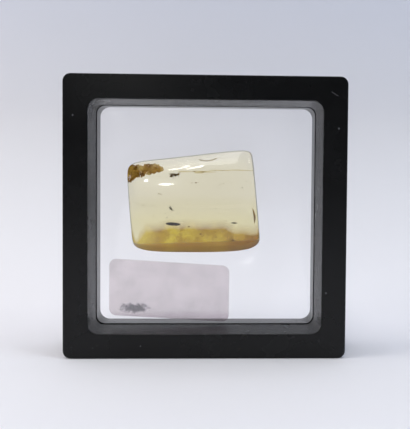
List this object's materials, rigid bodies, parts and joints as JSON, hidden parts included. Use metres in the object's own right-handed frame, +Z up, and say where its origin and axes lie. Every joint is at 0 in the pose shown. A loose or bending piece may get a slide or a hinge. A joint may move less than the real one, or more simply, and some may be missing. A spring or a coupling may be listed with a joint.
{
  "type": "insect in amber",
  "caption": "Polished clear amber with a beetle, a gnat and a winged ant sealed in it, held with its label between two stretched clear films in a hinged black display frame.",
  "frame": {"origin": "centre of the frame's lower edge, on the surface that the frame stands on", "axes": "+Z up; +X to the right as the picture sees it, away from the hinge; +Y away from the viewer, through the frame's depth, with the plane where its halves meet at y = 0"},
  "size_m": [0.09, 0.02, 0.09],
  "materials": {
    "frame": "satin",
    "film": "clear, glossy",
    "label": "matte",
    "amber": "polished, clear",
    "insect": "dark chitin",
    "plant": "dry",
    "crust": "granular"
  },
  "bodies": {
    "back_half": {"rear_frame": "frame", "rear_film": "film", "label": "label", "amber_front": "amber", "amber_rear": "amber", "pinhole_beetle": "insect", "gnat": "insect", "winged_ant": "insect", "fly_pupa": "insect", "leaf_sliver": "plant", "bud_scale": "plant", "bark_crust": "crust"},
    "front_half": {"front_frame": "frame", "front_film": "film"}
  },
  "joints": [
    {"name": "frame_hinge", "type": "hinge", "parent": "back_half", "child": "front_half", "pos_m": [-0.0434, 0, 0.045], "axis": [0, 0, -1], "range_deg": [0, 135]}
  ]
}
